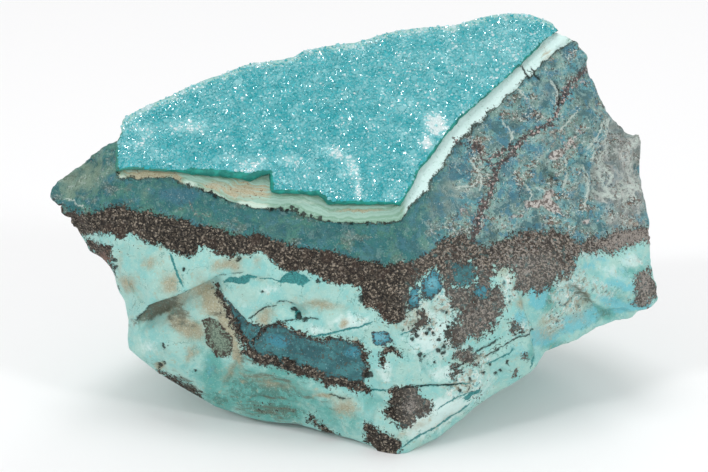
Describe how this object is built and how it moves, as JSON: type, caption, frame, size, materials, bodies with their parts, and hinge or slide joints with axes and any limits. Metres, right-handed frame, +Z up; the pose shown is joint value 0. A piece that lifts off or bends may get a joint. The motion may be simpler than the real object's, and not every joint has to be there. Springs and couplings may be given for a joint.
{
  "type": "druzy quartz on chrysocolla specimen",
  "caption": "Broken, layered blue-green copper ore with a sloping top face covered by a thin sparkling crust of small quartz crystals; stands upright on a flat foot.",
  "frame": {"origin": "middle of the bounding box in plan, on the flat foot the specimen stands on", "axes": "+X to the right as seen from the front, +Y away from the front, +Z up; the crystal-covered slope faces up and towards -Y"},
  "size_m": [0.0908, 0.0508, 0.0573],
  "materials": {
    "chrysocolla": "matt broken stone in layers: pale mint seam, grey-teal band, speckled brown band, pale turquoise below",
    "druzy_quartz": "small clear glassy crystals over a teal ground, sparkling"
  },
  "bodies": {
    "root": {"chrysocolla_rock": "chrysocolla", "druzy_quartz_crust": "druzy_quartz"}
  },
  "joints": []
}
